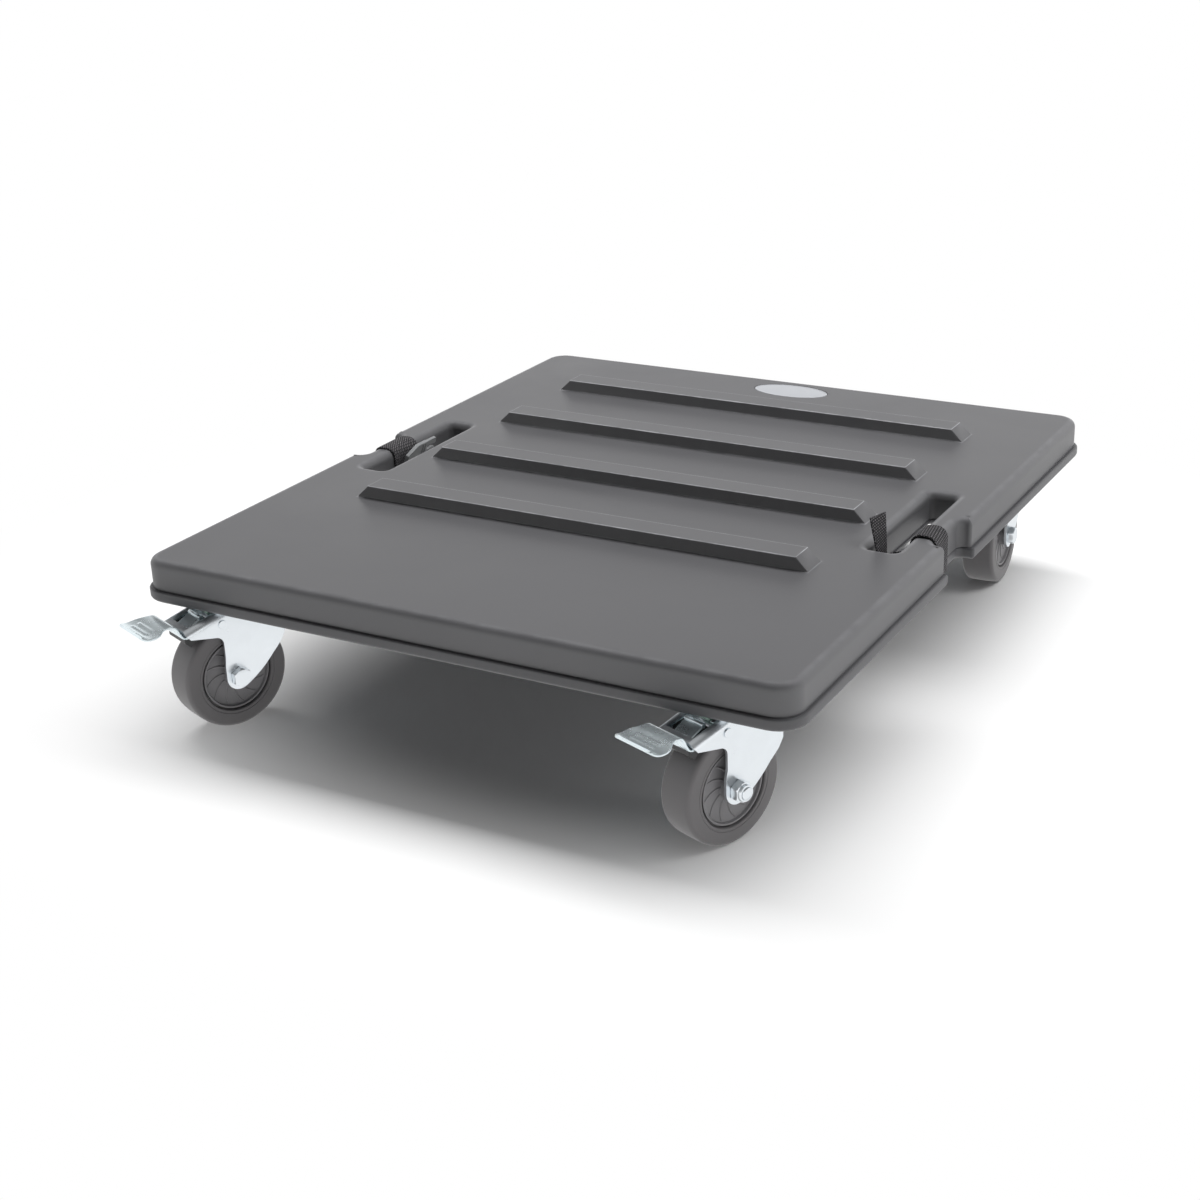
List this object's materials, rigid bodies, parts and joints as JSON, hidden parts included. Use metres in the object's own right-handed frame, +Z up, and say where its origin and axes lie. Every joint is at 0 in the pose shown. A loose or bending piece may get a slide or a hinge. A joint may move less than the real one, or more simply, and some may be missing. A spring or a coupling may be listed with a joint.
{
  "type": "caster platform",
  "caption": "Low rectangular plastic dolly deck with raised load ribs and side strap slots, on swivel casters with trailing wheels, those at one end with foot brakes.",
  "frame": {"origin": "on the floor under the middle of the object's footprint", "axes": "+X to the right seen from the end with the foot brakes, along the deck's short side; +Y from that end to the other, along the long side; +Z up"},
  "size_m": [0.637, 0.7786, 0.185],
  "materials": {
    "deck_skin": "fine textured charcoal moulding",
    "deck_base": "fine textured charcoal moulding",
    "badge": "satin grey, blank",
    "zinc": "bright zinc plate over pressed steel",
    "ball_steel": "polished bearing steel",
    "spring_steel": "passivated spring steel, slightly green",
    "wheel_centre": "dark grey nylon, satin",
    "tyre": "dark warm grey thermoplastic rubber",
    "brake_shoe": "black moulded rubber",
    "webbing": "dark woven strap",
    "buckle": "grey moulded acetal"
  },
  "bodies": {
    "deck": {"deck_top": "deck_skin", "deck_base": "deck_base", "badge": "badge", "plate_bolts": "zinc", "plate_nuts": "zinc", "left_strap": "webbing", "left_buckle": "buckle", "right_strap": "webbing", "front_left_top_plate": "zinc", "front_left_kingpin": "zinc", "front_left_lower_race": "zinc", "front_right_top_plate": "zinc", "front_right_kingpin": "zinc", "front_right_lower_race": "zinc", "rear_left_top_plate": "zinc", "rear_left_kingpin": "zinc", "rear_left_lower_race": "zinc", "rear_right_top_plate": "zinc", "rear_right_kingpin": "zinc", "rear_right_lower_race": "zinc"},
    "front_left_swivel": {"front_left_balls": "ball_steel", "front_left_fork": "zinc", "front_left_axle_bolt": "zinc", "front_left_axle_nut": "zinc", "front_left_axle_sleeve": "zinc", "front_left_brake_pin": "zinc", "front_left_brake_spring": "spring_steel"},
    "front_left_wheel": {"front_left_wheel_centre": "wheel_centre", "front_left_tyre": "tyre"},
    "front_left_brake": {"front_left_brake_pedal": "zinc", "front_left_brake_shoe": "brake_shoe"},
    "front_right_swivel": {"front_right_balls": "ball_steel", "front_right_fork": "zinc", "front_right_axle_bolt": "zinc", "front_right_axle_nut": "zinc", "front_right_axle_sleeve": "zinc", "front_right_brake_pin": "zinc", "front_right_brake_spring": "spring_steel"},
    "front_right_wheel": {"front_right_wheel_centre": "wheel_centre", "front_right_tyre": "tyre"},
    "front_right_brake": {"front_right_brake_pedal": "zinc", "front_right_brake_shoe": "brake_shoe"},
    "rear_left_swivel": {"rear_left_balls": "ball_steel", "rear_left_fork": "zinc", "rear_left_axle_bolt": "zinc", "rear_left_axle_nut": "zinc", "rear_left_axle_sleeve": "zinc"},
    "rear_left_wheel": {"rear_left_wheel_centre": "wheel_centre", "rear_left_tyre": "tyre"},
    "rear_right_swivel": {"rear_right_balls": "ball_steel", "rear_right_fork": "zinc", "rear_right_axle_bolt": "zinc", "rear_right_axle_nut": "zinc", "rear_right_axle_sleeve": "zinc"},
    "rear_right_wheel": {"rear_right_wheel_centre": "wheel_centre", "rear_right_tyre": "tyre"}
  },
  "joints": [
    {"name": "front_left_turn", "type": "hinge", "parent": "deck", "child": "front_left_swivel", "pos_m": [-0.2465, -0.2745, 0.1145], "axis": [0, 0, 1], "continuous": true},
    {"name": "front_left_roll", "type": "hinge", "parent": "front_left_swivel", "child": "front_left_wheel", "pos_m": [-0.25635, -0.29964, 0.05], "axis": [0.9311, -0.3649, 0], "continuous": true},
    {"name": "front_left_press", "type": "hinge", "parent": "front_left_swivel", "child": "front_left_brake", "pos_m": [-0.26073, -0.31081, 0.1042], "axis": [0.9311, -0.3649, 0], "range_deg": [0, 9]},
    {"name": "front_right_turn", "type": "hinge", "parent": "deck", "child": "front_right_swivel", "pos_m": [0.2465, -0.2745, 0.1145], "axis": [0, 0, 1], "continuous": true},
    {"name": "front_right_roll", "type": "hinge", "parent": "front_right_swivel", "child": "front_right_wheel", "pos_m": [0.23722, -0.29986, 0.05], "axis": [0.9391, -0.3437, 0], "continuous": true},
    {"name": "front_right_press", "type": "hinge", "parent": "front_right_swivel", "child": "front_right_brake", "pos_m": [0.2331, -0.31112, 0.1042], "axis": [0.9391, -0.3437, 0], "range_deg": [0, 9]},
    {"name": "rear_left_turn", "type": "hinge", "parent": "deck", "child": "rear_left_swivel", "pos_m": [-0.2495, 0.3285, 0.1145], "axis": [0, 0, 1], "continuous": true},
    {"name": "rear_left_roll", "type": "hinge", "parent": "rear_left_swivel", "child": "rear_left_wheel", "pos_m": [-0.24809, 0.30154, 0.05], "axis": [0.9986, 0.0523, 0], "continuous": true},
    {"name": "rear_right_turn", "type": "hinge", "parent": "deck", "child": "rear_right_swivel", "pos_m": [0.2495, 0.3285, 0.1145], "axis": [0, 0, 1], "continuous": true},
    {"name": "rear_right_roll", "type": "hinge", "parent": "rear_right_swivel", "child": "rear_right_wheel", "pos_m": [0.25105, 0.30155, 0.05], "axis": [0.9983, 0.0576, 0], "continuous": true}
  ]
}
